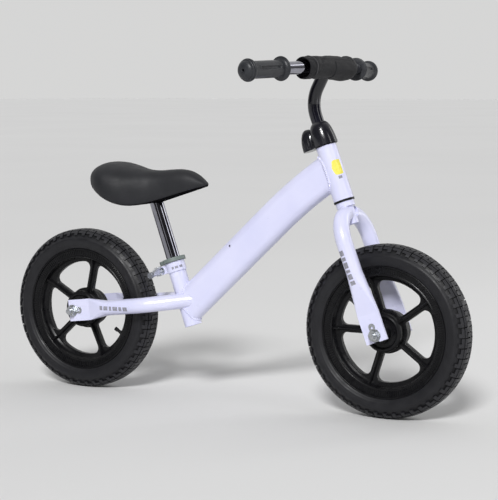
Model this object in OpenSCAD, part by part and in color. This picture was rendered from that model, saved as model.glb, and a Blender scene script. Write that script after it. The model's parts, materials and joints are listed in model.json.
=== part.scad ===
// Child's balance bike with an oval main tube, a straight fork and a T-shaped handlebar.
// +X is the riding direction, +Y is the rider's left, and the ground is at z = 0.
// The origin lies on the ground, midway between the two axles.

/* [Wheels] */
// Distance between the two axles
wheel_base = 620; // [600:1:640]
// Outer radius of the tyres
wheel_r = 150; // [148:0.5:152]
// Half of the tyre's width
tyre_half_w = 26.4; // [25:0.1:27]
// Radius at which the tyre meets the rim
rim_r = 114; // [113:0.5:115]
// Outer radius of the windows between the spokes
window_r = 88; // [84:0.5:90]
// Radius of the hub's flanges
hub_r = 34; // [30:0.5:36]
// Number of spokes in each wheel
spokes = 5; // [3:1:6]
// Width of a spoke
spoke_w = 13; // [10:0.5:16]
// Diameter of the axles
axle_d = 10; // [9.5:0.5:10]

/* [Steering] */
// Backward tilt of the steering axis, in degrees
head_tilt = 20.6; // [20:0.1:21.2]
// Outer diameter of the head tube
head_d = 36; // [35.5:0.5:37]
// Height of the head tube's lower end above the front axle, along the steering axis
head_lo = 237; // [236:1:240]
// Length of the head tube
head_len = 98; // [90:1:100]
// Outer diameter of the steerer tube
steerer_d = 25.4; // [25.4:0.1:25.4]
// Diameter of the fork legs
leg_d = 28; // [26:0.5:28.5]
// Distance of a fork leg from the middle plane
leg_y = 51; // [50:0.5:54]

/* [Handlebar] */
// Diameter of the handlebar tubes
bar_d = 22.2; // [22.2:0.1:22.2]
// Distance from the middle plane to the end of the bar tube
bar_half = 236; // [228:1:240]
// Forward bend of the stem's upper end, in degrees
stem_bend = 48; // [40:1:50]
// Backward sweep of each half of the bar, in degrees
bar_sweep = 10.3; // [9:0.1:11]
// Length of a grip
grip_len = 100; // [96:1:104]
// Diameter of the foam bar pad
pad_d = 38.7; // [36:0.1:40]
// Half of the bar pad's length
pad_half = 86; // [80:1:88]

/* [Frame] */
// Depth of the oval main tube
main_depth = 64; // [60:1:66]
// Slope of the main tube at its lower end, in degrees
main_slope = 43; // [42.5:0.1:43.5]
// Backward tilt of the seat tube, in degrees
seat_tilt = 19.3; // [19:0.1:19.6]
// Outer diameter of the seat tube
seat_d = 32; // [32:0.1:32]
// Length of the seat tube
seat_len = 121; // [119:1:122]
// Diameter of the chain stays
stay_d = 28; // [26:0.5:28.5]
// Distance of a chain stay from the middle plane
stay_y = 47; // [46:0.5:49]
// Rise of the chain stays towards the seat tube, in degrees
stay_rise = 7.2; // [6.8:0.1:7.6]

/* [Saddle] */
// Diameter of the seat post
post_d = 25.4; // [25.4:0.1:25.4]
// Height of the seat post's lower end above the seat tube's foot
post_lo = 52; // [50:1:60]
// Length of the seat post
post_len = 206; // [204:1:208]

/* [Hidden] */
$fn = 64;

frame_paint = [0.89, 0.89, 0.98];
rubber_black = [0.12, 0.12, 0.13];
plastic_black = [0.16, 0.16, 0.18];
gloss_black = [0.08, 0.08, 0.1];
zinc = [0.72, 0.73, 0.76];
chrome = [0.62, 0.63, 0.66];
ring_grey = [0.42, 0.47, 0.45];

// Clearances: a running fit, a gap between bodies, and the overlap of a cutting tool.
fit = 0.05;
gap = 0.3;
cut = 1;

// A straight length starts this far inside the bend before it, and is this much larger.
lap = 0.5;
step = 0.02;

// Wheels and hubs, with y measured from the middle plane.
front_x = wheel_base / 2;
rear_x = -wheel_base / 2;
tyre_wall = 4;
bead_t = 3.5;
shoulder_r = 20;
hub_flange_y = 25;
hub_half = 36;
bearing_d = 26;
bearing_w = 8;
rim_half_w = 22.5;
web_half = 5.5;
front_spoke_turn = 36;
rear_spoke_turn = 6;

// Each valve sits midway between two spokes.
front_valve_at = front_spoke_turn + 3 * 180 / spokes;
rear_valve_at = rear_spoke_turn - 180 / spokes;
spacer_d = 16;
drop_t = 4.5;
washer_t = 1.6;
nut_t = 7;
nut_af = 16;
axle_stub = 7;
axle_end_len = 6.4;
axle_end_d = 9.5;
tab_hole_r = 10;

// Wall thicknesses.
tube_wall = 1.6;
main_wall = 1.8;

// Headset and stem clamp, with heights along the steering axis from the front axle.
head_hi = head_lo + head_len;
bush_flange = 3.4;
bush_len = 20;
race_lo = 224;
race_r = 16.5;
race_hi = head_lo - bush_flange - gap;
steerer_lo = 193;
steerer_hi = 366;
clamp_lo = head_hi + bush_flange + gap;
clamp_hi = 357.5;
clamp_d = 35;
clamp_ear_x = -33;
clamp_bolt_x = -27;
bolt_places = [0.26, 0.74];
cover_lo = head_hi + 1.4;
cover_hi = 379;
cover_r = 22;
cover_wall = 2;
leg_bend_r = 48;
leg_bend_lo = 165;
leg_crimp_lo = 38;
leg_crimp_hi = 112;
drop_w = 40;
leg_tail = 12;
stay_tail = 8;

// Handlebar, with heights along the steering axis.
stem_lo = 236;
stem_bend_lo = 389;
stem_bend_r = 62;
stem_top = 38;
bar_pitch = 10.4;
bar_bend_y = 62;
bar_bend_r = 100;
grip_d = 28;
grip_flange_d = 41;
grip_cap_d = 37.5;
bar_reach = stem_bend_r * (1 - cos(stem_bend)) + stem_top * sin(stem_bend);
bar_height = stem_bend_lo + stem_bend_r * sin(stem_bend) + stem_top * cos(stem_bend);
bar_arc = bar_bend_r * sin(bar_sweep);
bar_end = (bar_half - bar_bend_y - bar_arc) / cos(bar_sweep);
grip_start = bar_end - grip_len + 5;

// Frame: the seat tube's foot, and the main tube's start on the seat tube's axis.
seat_foot = [-76, 0, 132.5];
main_from = [-87.6, 0, 165.6];
main_half_w = 16;
main_straight = 250;
main_bend = 8;
main_bend_r = 825;
main_end = 22;
stay_bend_x = 138;
stay_bend_r = 60;
stay_bend = 27;
stay_end = 91;
stay_crimp_lo = 38;
stay_crimp_hi = 78;

// A small drain hole through the main tube's right side.
drain_at = [8.7, 0, 283.3];
drain_d = 4;

// Seat clamp and quick release, with heights along the seat tube.
seat_clamp_lo = 103;
seat_clamp_d = 36;
ring_lo = seat_len + 0.5;
ring_t = 7;
ring_r = 21.5;
ear_x = -25;
ear_r = 7.5;
ear_half_y = 12;
skewer_h = 112;
skewer_d = 6;
lever_y = 21;
pivot_d = 5;

// Height of the saddle's lowest edge above the ground.
saddle_z = 352;

// Thickness of the saddle's base, and the saddle bolt's distance from the post's top.
base_t = 4;
bolt_drop = 10;

// ---- Shared shapes ----

module steering() {
    translate([front_x, 0, wheel_r]) rotate([0, -head_tilt, 0]) children();
}

module seat_line() {
    translate(seat_foot) rotate([0, -seat_tilt, 0]) children();
}

module skewer_line() {
    seat_line() translate([ear_x, 0, skewer_h]) rotate([90, 0, 0]) children();
}

// A wheel's own axes: z points to the bike's right side, x forwards and y up.
module hub_line(x) {
    translate([x, 0, wheel_r]) rotate([90, 0, 0]) children();
}

module both_sides() {
    children();
    mirror([0, 0, 1]) children();
}

module ring(r_out, r_in, z0, z1) {
    translate([0, 0, z0]) difference() {
        cylinder(r = r_out, h = z1 - z0);
        translate([0, 0, -cut]) cylinder(r = r_in, h = z1 - z0 + 2 * cut);
    }
}

// A bend that starts at the origin along +z and turns towards +x.
module bend(rad, ang) {
    rotate([0, 0, 180]) rotate([90, 0, 0]) translate([-rad, 0, 0])
        rotate_extrude(angle = ang) translate([rad, 0]) children();
}

module after_bend(rad, ang) {
    translate([rad * (1 - cos(ang)), 0, rad * sin(ang)]) rotate([0, ang, 0]) children();
}

// A round bar: straight, bent towards +x, and straight again. The ends grow by extra.
module bent_bar(r, first, rad, ang, last, extra = 0) {
    translate([0, 0, -extra]) cylinder(r = r, h = first + extra);
    translate([0, 0, first]) {
        bend(rad, ang) circle(r);
        after_bend(rad, ang) translate([0, 0, -lap]) cylinder(r = r + step, h = last + extra + lap);
    }
}

module hex_nut(af, h, bore) {
    difference() {
        cylinder(d = af / cos(30), h = h, $fn = 6);
        translate([0, 0, -cut]) cylinder(d = bore, h = h + 2 * cut);
    }
}

// ---- Wheels ----

module tyre_section(inset) {
    side = tyre_half_w - inset;
    arc_r = shoulder_r - inset;
    arc_y = tyre_half_w - shoulder_r;
    for (s = [-1, 1]) translate([wheel_r - shoulder_r, s * arc_y]) circle(arc_r);
    translate([rim_r - cut, -side]) square([wheel_r - shoulder_r - rim_r + cut, 2 * side]);
    translate([rim_r - cut, -arc_y]) square([wheel_r - inset - rim_r + cut, 2 * arc_y]);
}

module tyre(x) {
    bead_in = 17;
    color(rubber_black) hub_line(x) rotate_extrude($fn = 128) difference() {
        outside_radius(rim_r + 0.2) tyre_section(0);
        outside_radius(rim_r + bead_t) tyre_section(tyre_wall);
        translate([rim_r - cut, -bead_in]) square([bead_t + 2 * cut, 2 * bead_in]);
    }
}

module outside_radius(r) {
    intersection() {
        children();
        translate([r, -wheel_r]) square(2 * wheel_r);
    }
}

module inner_tube(x) {
    tube_r = (wheel_r - tyre_wall - rim_r) / 2 - gap;
    color(rubber_black) hub_line(x) rotate_extrude() translate([rim_r + tube_r + gap, 0]) difference() {
        circle(tube_r);
        circle(tube_r - 1.2);
    }
}

module rim_section() {
    well_y = 14;
    well_r = rim_r - 3.4;
    polygon([
        [window_r - 0.6, -3.5], [window_r + 1, -web_half + 0.6], [96, -9], [97.5, -17], [100, -20],
        [rim_r - 2, -rim_half_w], [rim_r, -rim_half_w + 0.8], [rim_r, -well_y - 2], [well_r, -well_y],
        [well_r, well_y], [rim_r, well_y + 2], [rim_r, rim_half_w - 0.8], [rim_r - 2, rim_half_w],
        [100, 20], [97.5, 17], [96, 9], [window_r + 1, web_half - 0.6], [window_r - 0.6, 3.5],
    ]);
}

module window_shape() {
    corner = 9;
    half_turn = 180 / spokes;
    offset(r = corner, $fn = 40) offset(delta = -corner) difference() {
        intersection() {
            circle(window_r, $fn = 120);
            polygon([[0, 0], 200 * [cos(half_turn), sin(half_turn)], [300, 0],
                     200 * [cos(half_turn), -sin(half_turn)]]);
        }
        circle(hub_r + 3, $fn = 60);
        for (s = [-1, 1]) rotate(s * half_turn) translate([0, -spoke_w / 2]) square([150, spoke_w]);
    }
}

module hub_section() {
    nose_r = 17;
    polygon([
        [8, -hub_half], [nose_r, -hub_half], [nose_r + 1, -hub_flange_y - 3], [hub_r - 3, -hub_flange_y],
        [hub_r, -hub_flange_y + 3], [hub_r, hub_flange_y - 3], [hub_r - 3, hub_flange_y],
        [nose_r + 1, hub_flange_y + 3], [nose_r, hub_half], [8, hub_half],
    ]);
}

module wheel_core(x, turn, valve_at) {
    rib_w = 4;
    rib_half = 8.4;
    color(plastic_black) hub_line(x) difference() {
        union() {
            rotate_extrude($fn = 128) rim_section();
            rotate_extrude($fn = 128) hub_section();
            difference() {
                ring(window_r + 4, hub_r - 4, -web_half, web_half);
                for (i = [0 : spokes - 1]) rotate(turn + (i + 0.5) * 360 / spokes)
                    translate([0, 0, -web_half - cut])
                        linear_extrude(2 * web_half + 2 * cut) window_shape();
            }
            for (i = [0 : spokes - 1]) rotate(turn + i * 360 / spokes)
                translate([hub_r - 3, -rib_w / 2, -rib_half]) cube([96 - hub_r + 4, rib_w, 2 * rib_half]);
        }
        both_sides() translate([0, 0, hub_half - bearing_w]) cylinder(d = bearing_d, h = bearing_w + cut);
        rotate(valve_at) translate([window_r - 3, 0, 0]) rotate([0, 90, 0])
            cylinder(r = 3.7, h = 40);
    }
}

module valve(x, valve_at) {
    color(plastic_black) hub_line(x) rotate(valve_at) rotate([0, 90, 0]) {
        translate([0, 0, window_r - 16]) cylinder(r = 3.6, h = 6);
        translate([0, 0, window_r - 10]) cylinder(r = 3, h = 8);
        translate([0, 0, window_r - 4]) cylinder(r = 3.5, h = 28);
    }
}

module bearings(x) {
    color(zinc) hub_line(x) both_sides() {
        ring(bearing_d / 2, 10.6, hub_half - bearing_w, hub_half);
        ring(7.6, axle_d / 2 + fit, hub_half - bearing_w, hub_half);
        ring(10.4, 7.8, hub_half - bearing_w + 1.5, hub_half - 1.5);
    }
}

module hub_spacers(x, drop_y) {
    color(zinc) hub_line(x) {
        both_sides() ring(spacer_d / 2 - 1, axle_d / 2 + fit, hub_half + gap, drop_y - drop_t / 2);
        ring(axle_d / 2 + 1.8, axle_d / 2 + fit, -hub_half + bearing_w + gap, hub_half - bearing_w - gap);
    }
}

function axle_half(drop_y) = drop_y + drop_t / 2 + washer_t + nut_t + axle_stub;

module axle(x, drop_y) {
    color(zinc) hub_line(x) translate([0, 0, -axle_half(drop_y)])
        cylinder(d = axle_end_d, h = 2 * axle_half(drop_y));
    color(zinc) hub_line(x) translate([0, 0, axle_end_len - axle_half(drop_y)])
        cylinder(d = axle_d, h = 2 * (axle_half(drop_y) - axle_end_len));
}

module axle_nuts(x, drop_y) {
    color(zinc) hub_line(x) both_sides()
        translate([0, 0, drop_y + drop_t / 2 + washer_t]) hex_nut(nut_af, nut_t, axle_d);
}

// A tab washer: a disc on the axle with a longer eye towards turn degrees.
module tab_washers(x, drop_y, turn) {
    color(zinc) hub_line(x) both_sides() translate([0, 0, drop_y + drop_t / 2]) rotate(turn)
        linear_extrude(washer_t) difference() {
            union() {
                circle(11);
                translate([0, -5.2]) square([tab_hole_r + 5, 10.4]);
                translate([tab_hole_r + 5, 0]) circle(6);
            }
            circle(d = axle_d);
            translate([tab_hole_r + 4, 0]) circle(2.2);
        }
}

// ---- Frame ----

// A flat dropout plate along +x. It is cut off at -tail, where the axle's slot opens.
module drop_plate(len, tail) {
    difference() {
        translate([(len - tail) / 2, 0, 0]) cube([len + tail, drop_w, drop_t], center = true);
        cylinder(d = axle_d + 0.2, h = drop_t + 2 * cut, center = true);
        translate([-drop_w / 2, 0, 0]) cube([drop_w, axle_d + 0.2, drop_t + 2 * cut], center = true);
    }
}

// A crimp blends the flat plate into the round tube, from lo to hi along x.
module crimp(r, lo, hi) {
    hull() {
        translate([lo, 0, 0]) cube([1, drop_w, drop_t], center = true);
        translate([hi - 2, 0, 0]) rotate([0, 90, 0]) cylinder(r = r, h = 1, $fn = 32);
    }
}

module stay_solid(r, extra) {
    translate([stay_crimp_hi - 2, 0, 0]) rotate([0, 90, 0]) rotate([0, 0, 180])
        bent_bar(r, stay_bend_x - stay_crimp_hi + 2, stay_bend_r, stay_bend, stay_end, extra);
}

module chain_stay(side) {
    color(frame_paint) difference() {
        translate([rear_x, -side * stay_y, wheel_r]) rotate([0, -stay_rise, 0]) {
            rotate([90, 0, 0]) {
                drop_plate(stay_crimp_lo, stay_tail);
                crimp(stay_d / 2, stay_crimp_lo, stay_crimp_hi);
            }
            difference() {
                rotate([-side * 90, 0, 0]) stay_solid(stay_d / 2, 0);
                rotate([-side * 90, 0, 0]) stay_solid(stay_d / 2 - tube_wall, cut);
            }
        }
        seat_line() translate([0, 0, -60]) cylinder(d = seat_d, h = 200);
        seat_line() translate([0, -main_half_w - step, -60]) cube([80, 2 * (main_half_w + step), 200]);
        translate([rear_x + 200, side > 0 ? 0 : -100, 0]) cube([150, 100, 400]);
    }
}

module right_chain_stay() { chain_stay(1); }
module left_chain_stay() { chain_stay(-1); }

module main_section(inset) {
    arc_r = main_half_w - inset;
    flat = main_depth / 2 - main_half_w;
    for (s = [-1, 1]) translate([s * flat, 0]) circle(arc_r);
    square([2 * flat, 2 * arc_r], center = true);
}

module main_path(inset, extra) {
    translate([0, 0, -extra]) linear_extrude(main_straight + extra) main_section(inset);
    translate([0, 0, main_straight]) {
        bend(main_bend_r, main_bend) main_section(inset);
        after_bend(main_bend_r, main_bend) translate([0, 0, -lap])
            linear_extrude(main_end + extra + lap) main_section(inset - step);
    }
}

module main_tube() {
    color(frame_paint) difference() {
        translate(main_from) rotate([0, 90 - main_slope, 0]) difference() {
            main_path(0, 0);
            main_path(main_wall, cut);
        }
        steering() translate([0, 0, 100]) cylinder(d = head_d, h = 400);
        seat_line() translate([0, 0, -60]) cylinder(d = seat_d, h = 300);
        seat_line() translate([-200, -50, -60]) cube([200, 100, 300]);
        steering() translate([100, 0, 300]) cube([200, 80, 300], center = true);
        translate(drain_at) rotate([90, 0, 0]) cylinder(d = drain_d, h = 2 * main_half_w, $fn = 24);
    }
}

module head_tube() {
    color(frame_paint) steering() ring(head_d / 2, head_d / 2 - 2, head_lo, head_hi);
}

module seat_tube() {
    slit = 2.4;
    color(frame_paint) seat_line() difference() {
        ring(seat_d / 2, post_d / 2 + fit, 0, seat_len);
        translate([-seat_d, -slit / 2, seat_clamp_lo - 6]) cube([seat_d, slit, seat_len]);
    }
}

module seat_clamp() {
    slit = 3;
    color(frame_paint) seat_line() difference() {
        union() {
            translate([0, 0, seat_clamp_lo]) cylinder(d = seat_clamp_d, h = seat_len - seat_clamp_lo);
            translate([ear_x, 0, skewer_h]) rotate([90, 0, 0])
                cylinder(r = ear_r, h = 2 * ear_half_y, center = true);
            translate([ear_x, -ear_half_y, skewer_h - ear_r]) cube([-ear_x, 2 * ear_half_y, 2 * ear_r]);
        }
        translate([0, 0, seat_clamp_lo - cut]) cylinder(d = seat_d, h = 60);
        translate([-60, -slit / 2, seat_clamp_lo - cut]) cube([60, slit, 60]);
        translate([ear_x, 0, skewer_h]) rotate([90, 0, 0]) cylinder(d = skewer_d, h = 60, center = true);
    }
}

module seat_clamp_ring() {
    tail_x = -19;
    tail_r = 11;
    color(ring_grey) seat_line() translate([0, 0, ring_lo]) difference() {
        union() {
            cylinder(r = ring_r, h = ring_t);
            translate([tail_x, 0, 0]) cylinder(r = tail_r, h = ring_t);
        }
        translate([0, 0, -cut]) cylinder(r = post_d / 2 + gap, h = ring_t + 2 * cut);
    }
}

module skewer_rod() {
    end_y = 29;
    difference() {
        color(zinc) skewer_line() translate([0, 0, -end_y]) cylinder(d = skewer_d, h = end_y + lever_y + 3);
        skewer_line() translate([0, 0, lever_y]) rotate([90, 0, 0]) cylinder(d = pivot_d, h = 40, center = true);
    }
}

module skewer_nut() {
    nut_h = 14;
    color(zinc) skewer_line() translate([0, 0, -ear_half_y - nut_h]) difference() {
        union() {
            cylinder(r = 6, h = nut_h);
            translate([0, 0, nut_h - 5]) cylinder(r = 8, h = 5);
        }
        translate([0, 0, -cut]) cylinder(d = skewer_d, h = nut_h + 2 * cut);
    }
}

module lever_pivot_pin() {
    color(zinc) skewer_line() translate([0, 0, lever_y]) rotate([90, 0, 0])
        cylinder(d = pivot_d, h = 17, center = true);
}

module lever_washer() {
    color(zinc) skewer_line() ring(7, skewer_d / 2, ear_half_y, ear_half_y + 2);
}

// At rest the lever points straight out, half way between open and clamped.
module quick_release_lever() {
    cam_r = 6.4;
    cam_half = 8;
    arm_r = 5.2;
    arm_half = 6;
    knob_at = [0, 28, 4];
    knob_r = 5.4;
    slot_at = [-2, -5, 0];
    slot_size = [20, 20, 8];
    color(zinc) skewer_line() translate([0, 0, lever_y]) rotate([90, 0, 0]) difference() {
        union() {
            cylinder(r = cam_r, h = 2 * cam_half, center = true);
            hull() {
                translate([0, arm_r, 0]) cylinder(r = arm_r, h = 2 * arm_half, center = true, $fn = 32);
                translate(knob_at) sphere(r = knob_r - 1, $fn = 32);
            }
            translate(knob_at) rotate([-90, 0, 0]) cylinder(r = knob_r, h = knob_r);
        }
        cylinder(r = pivot_d / 2 + fit, h = 4 * cam_half, center = true);
        translate(slot_at) cube(slot_size, center = true);
    }
}

module headset_bush(z_flange, z_sleeve) {
    color(plastic_black) steering() {
        ring(head_d / 2 + 0.4, steerer_d / 2 + fit, z_flange, z_flange + bush_flange);
        ring(head_d / 2 - 2, steerer_d / 2 + fit, z_sleeve, z_sleeve + bush_len);
    }
}

module upper_headset_bush() { headset_bush(head_hi, head_hi - bush_len); }
module lower_headset_bush() { headset_bush(head_lo - bush_flange, head_lo); }

module rear_axle() { axle(rear_x, stay_y); }
module rear_axle_nuts() { axle_nuts(rear_x, stay_y); }
module rear_tab_washers() { tab_washers(rear_x, stay_y, stay_rise); }
module rear_hub_spacers() { hub_spacers(rear_x, stay_y); }
module rear_wheel_core() { wheel_core(rear_x, rear_spoke_turn, rear_valve_at); }
module rear_tyre() { tyre(rear_x); }
module rear_inner_tube() { inner_tube(rear_x); }
module rear_valve() { valve(rear_x, rear_valve_at); }
module rear_bearings() { bearings(rear_x); }

module front_axle() { axle(front_x, leg_y); }
module front_axle_nuts() { axle_nuts(front_x, leg_y); }
module front_tab_washers() { tab_washers(front_x, leg_y, 90 + head_tilt); }
module front_hub_spacers() { hub_spacers(front_x, leg_y); }
module front_wheel_core() { wheel_core(front_x, front_spoke_turn, front_valve_at); }
module front_tyre() { tyre(front_x); }
module front_inner_tube() { inner_tube(front_x); }
module front_valve() { valve(front_x, front_valve_at); }
module front_bearings() { bearings(front_x); }

// ---- Fork ----

module steerer_tube() {
    color(frame_paint) steering() difference() {
        ring(steerer_d / 2, bar_d / 2 + fit, steerer_lo, steerer_hi);
        translate([-steerer_d, -1.2, clamp_lo]) cube([steerer_d, 2.4, 60]);
    }
}

module crown_race() {
    color(frame_paint) steering() ring(race_r, steerer_d / 2, race_lo, race_hi);
}

module leg_solid(r, extra) {
    translate([0, 0, leg_crimp_hi - 2])
        bent_bar(r, leg_bend_lo - leg_crimp_hi + 2, leg_bend_r, 80, 1, extra);
}

module fork_leg(side) {
    color(frame_paint) difference() {
        steering() translate([0, -side * leg_y, 0]) {
            rotate([90, 0, 0]) rotate(90) {
                drop_plate(leg_crimp_lo, leg_tail);
                crimp(leg_d / 2, leg_crimp_lo, leg_crimp_hi);
            }
            difference() {
                rotate(side * 90) leg_solid(leg_d / 2, 0);
                rotate(side * 90) leg_solid(leg_d / 2 - tube_wall, cut);
            }
        }
        steering() translate([0, 0, 100]) cylinder(d = steerer_d, h = 300);
        steering() translate([0, 0, race_lo]) cylinder(r = race_r, h = 40);
        steering() translate([0, side * 50, 200]) cube([100, 100, 100], center = true);
    }
}

module right_fork_leg() { fork_leg(1); }
module left_fork_leg() { fork_leg(-1); }

module stem_clamp() {
    slit = 3;
    ear_half = 7;
    height = clamp_hi - clamp_lo;
    color(zinc) steering() translate([0, 0, clamp_lo]) difference() {
        union() {
            cylinder(d = clamp_d, h = height);
            translate([clamp_ear_x, -ear_half, 0]) cube([-clamp_ear_x, 2 * ear_half, height]);
        }
        translate([0, 0, -cut]) cylinder(d = steerer_d, h = 60);
        translate([-60, -slit / 2, -cut]) cube([60, slit, 60]);
        for (z = bolt_places) translate([clamp_bolt_x, 0, z * height]) rotate([90, 0, 0])
            cylinder(d = 5, h = 40, center = true);
    }
}

module stem_clamp_bolts() {
    height = clamp_hi - clamp_lo;
    color(zinc) steering() for (z = bolt_places)
        translate([clamp_bolt_x, 0, clamp_lo + z * height]) rotate([90, 0, 0]) {
            translate([0, 0, -11]) cylinder(d = 5, h = 19);
            translate([0, 0, 7]) cylinder(d = 7.5, h = 4);
            translate([0, 0, -10.5]) hex_nut(7, 3.5, 5);
        }
}

// The cover's outline in the steering plane, as a solid that shrinks by inset.
module cover_solid(inset) {
    r = cover_r - inset;
    lobe_r = 10.5 - inset;
    lobe_x = -31;
    lobe_h = 26;
    top = cover_hi - inset;
    shoulder = 13;
    translate([0, 0, cover_lo]) cylinder(r = r, h = top - shoulder - cover_lo);
    translate([0, 0, top - shoulder]) rotate_extrude() {
        square([r - shoulder, shoulder]);
        intersection() {
            translate([r - shoulder, 0]) circle(shoulder);
            square([r, shoulder]);
        }
    }
    translate([lobe_x, 0, cover_lo]) {
        for (s = [-1, 1]) translate([0, s * 4, 0]) {
            cylinder(r = lobe_r, h = lobe_h);
            translate([0, 0, lobe_h]) sphere(lobe_r);
        }
        translate([-lobe_r, -4, 0]) cube([2 * lobe_r, 8, lobe_h]);
        translate([0, 0, lobe_h]) rotate([90, 0, 0]) cylinder(r = lobe_r, h = 8, center = true);
        translate([0, -lobe_r - 3, 0]) cube([-lobe_x, 2 * lobe_r + 6, lobe_h]);
    }
}

module stem_clamp_cover() {
    color(gloss_black) steering() difference() {
        cover_solid(0);
        translate([0, 0, -cover_wall]) cover_solid(cover_wall);
        translate([0, 0, cover_lo]) cylinder(d = bar_d + 1, h = 80);
    }
}

// ---- Handlebar ----

module stem_path(r, extra) {
    translate([0, 0, stem_lo])
        bent_bar(r, stem_bend_lo - stem_lo, stem_bend_r, stem_bend, stem_top - 3, extra);
}

module stem_riser() {
    color(gloss_black) difference() {
        steering() difference() {
            stem_path(bar_d / 2, 0);
            stem_path(bar_d / 2 - 2, cut);
        }
        bar_middle() rotate([90, 0, 0]) cylinder(d = bar_d, h = 60, center = true);
    }
}

module bar_middle() {
    steering() translate([bar_reach, 0, bar_height]) rotate([0, head_tilt - bar_pitch, 0]) children();
}

// The bar's right half (side = 1) or left half (side = -1), along +z, with the sweep towards -x.
module half_bar(side) {
    bar_middle() rotate([side * 90, 0, 0]) rotate(180) children();
}

module after_sweep(side) {
    half_bar(side) translate([0, 0, bar_bend_y]) after_bend(bar_bend_r, bar_sweep) children();
}

module crossbar() {
    color(chrome) for (side = [-1, 1]) difference() {
        half_bar(side) bent_bar(bar_d / 2, bar_bend_y, bar_bend_r, bar_sweep, bar_end);
        half_bar(side) bent_bar(bar_d / 2 - 2, bar_bend_y, bar_bend_r, bar_sweep, bar_end, cut);
    }
}

module grip(side) {
    cap_lo = grip_start + grip_len - 15;
    color(rubber_black) after_sweep(side) difference() {
        union() {
            translate([0, 0, grip_start]) cylinder(d = grip_flange_d, h = 4);
            translate([0, 0, grip_start + 4]) cylinder(d = grip_d, h = grip_len - 12);
            translate([0, 0, cap_lo]) cylinder(d1 = grip_d, d2 = grip_cap_d, h = 4);
            translate([0, 0, cap_lo + 4]) cylinder(d = grip_cap_d, h = 5);
            translate([0, 0, cap_lo + 9]) cylinder(d1 = grip_cap_d, d2 = grip_d - 3, h = 6);
        }
        translate([0, 0, grip_start - cut]) cylinder(d = bar_d + 2 * step, h = bar_end - grip_start + cut);
        translate([0, 0, grip_start]) cylinder(d = 5, h = grip_len + cut);
    }
}

module right_grip() { grip(1); }
module left_grip() { grip(-1); }

module pad_path(r, extra) {
    last = (pad_half - bar_bend_y - bar_arc) / cos(bar_sweep);
    for (side = [-1, 1]) half_bar(side) bent_bar(r, bar_bend_y, bar_bend_r, bar_sweep, last + extra);
}

module bar_pad() {
    color(plastic_black) difference() {
        pad_path(pad_d / 2, 0);
        pad_path(bar_d / 2, cut);
        steering() translate([0, 0, stem_bend_lo]) after_bend(stem_bend_r, stem_bend)
            translate([0, 0, -30]) cylinder(d = bar_d + 2, h = 30 + stem_top);
    }
}

// ---- Saddle ----

module seat_post() {
    color(chrome) seat_line() ring(post_d / 2, post_d / 2 - 1.8, post_lo, post_lo + post_len);
}

// The padded shape: a wide rear, a waist and a rounded nose. It shrinks by inset.
module saddle_shape(inset) {
    hull() saddle_lobe([-228, 0, 386], [55, 71, 41.5], inset);
    hull() {
        saddle_lobe([-205, 0, 383], [44, 54, 39], inset);
        saddle_lobe([-150, 0, 386], [26, 29, 27.5], inset);
    }
    hull() {
        saddle_lobe([-152, 0, 386], [26, 29, 27.5], inset);
        saddle_lobe([-98, 0, 392], [26, 24, 25], inset);
        saddle_lobe([-66, 0, 388], [21, 17, 18.5], inset);
    }
}

// An ellipsoid with a narrower foot below it.
module saddle_lobe(place, size, inset) {
    foot = 0.88;
    foot_z = 340;
    translate(place) scale(size - [inset, inset, inset]) sphere(r = 1, $fn = 36);
    translate([place.x, place.y, foot_z]) scale([foot * size.x - inset, foot * size.y - inset, 1])
        cylinder(r = 1, h = 1, $fn = 36);
}

// Everything below the saddle's lower edge, which rises to the nose and to the back.
module below_saddle(lift) {
    nose_slope = 17;
    back_slope = 35;
    size = [600, 300, 200];
    translate([-136, 0, 362 + lift]) rotate([0, -nose_slope, 0]) low_block(size);
    translate([-200, 0, saddle_z + lift]) low_block(size);
    translate([-222, 0, saddle_z + lift]) rotate([0, back_slope, 0]) low_block(size);
}

module low_block(size) {
    translate([-size.x / 2, -size.y / 2, -size.z]) cube(size);
}

module saddle_base() {
    socket_len = 20;
    color(plastic_black) difference() {
        union() {
            difference() {
                intersection() {
                    saddle_shape(1.5);
                    below_saddle(base_t);
                }
                below_saddle(0);
            }
            seat_line() translate([0, 0, post_lo + post_len - socket_len])
                cylinder(d = post_d + 6, h = socket_len);
        }
        seat_line() translate([0, 0, post_lo + post_len - 60]) cylinder(d = post_d, h = 60);
    }
}

module saddle_cushion() {
    color(rubber_black) difference() {
        saddle_shape(0);
        below_saddle(base_t);
        seat_line() translate([0, 0, post_lo]) cylinder(d = post_d + 6, h = post_len);
        seat_line() translate([0, 0, post_lo + post_len - bolt_drop]) rotate([90, 0, 0])
            cylinder(r = 6, h = 46, center = true);
    }
}

module saddle_bolt() {
    color(zinc) seat_line() translate([0, 0, post_lo + post_len - bolt_drop]) rotate([90, 0, 0]) {
        translate([0, 0, -20]) cylinder(d = 5, h = 37);
        translate([0, 0, 15.8]) cylinder(d = 9, h = 4);
        translate([0, 0, -19.8]) hex_nut(8, 4, 5);
    }
}

main_tube();
head_tube();
seat_tube();
right_chain_stay();
left_chain_stay();
seat_clamp();
seat_clamp_ring();
skewer_rod();
skewer_nut();
lever_pivot_pin();
lever_washer();
quick_release_lever();
upper_headset_bush();
lower_headset_bush();
rear_axle();
rear_axle_nuts();
rear_tab_washers();
rear_hub_spacers();
rear_wheel_core();
rear_tyre();
rear_inner_tube();
rear_valve();
rear_bearings();
front_axle();
front_axle_nuts();
front_tab_washers();
front_hub_spacers();
front_wheel_core();
front_tyre();
front_inner_tube();
front_valve();
front_bearings();
steerer_tube();
crown_race();
right_fork_leg();
left_fork_leg();
stem_clamp();
stem_clamp_bolts();
stem_clamp_cover();
stem_riser();
crossbar();
right_grip();
left_grip();
bar_pad();
seat_post();
saddle_base();
saddle_cushion();
saddle_bolt();
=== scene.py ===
# The looks of the balance bike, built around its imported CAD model.
# Metres; +X is the riding direction, +Y the rider's left, +Z up.

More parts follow.
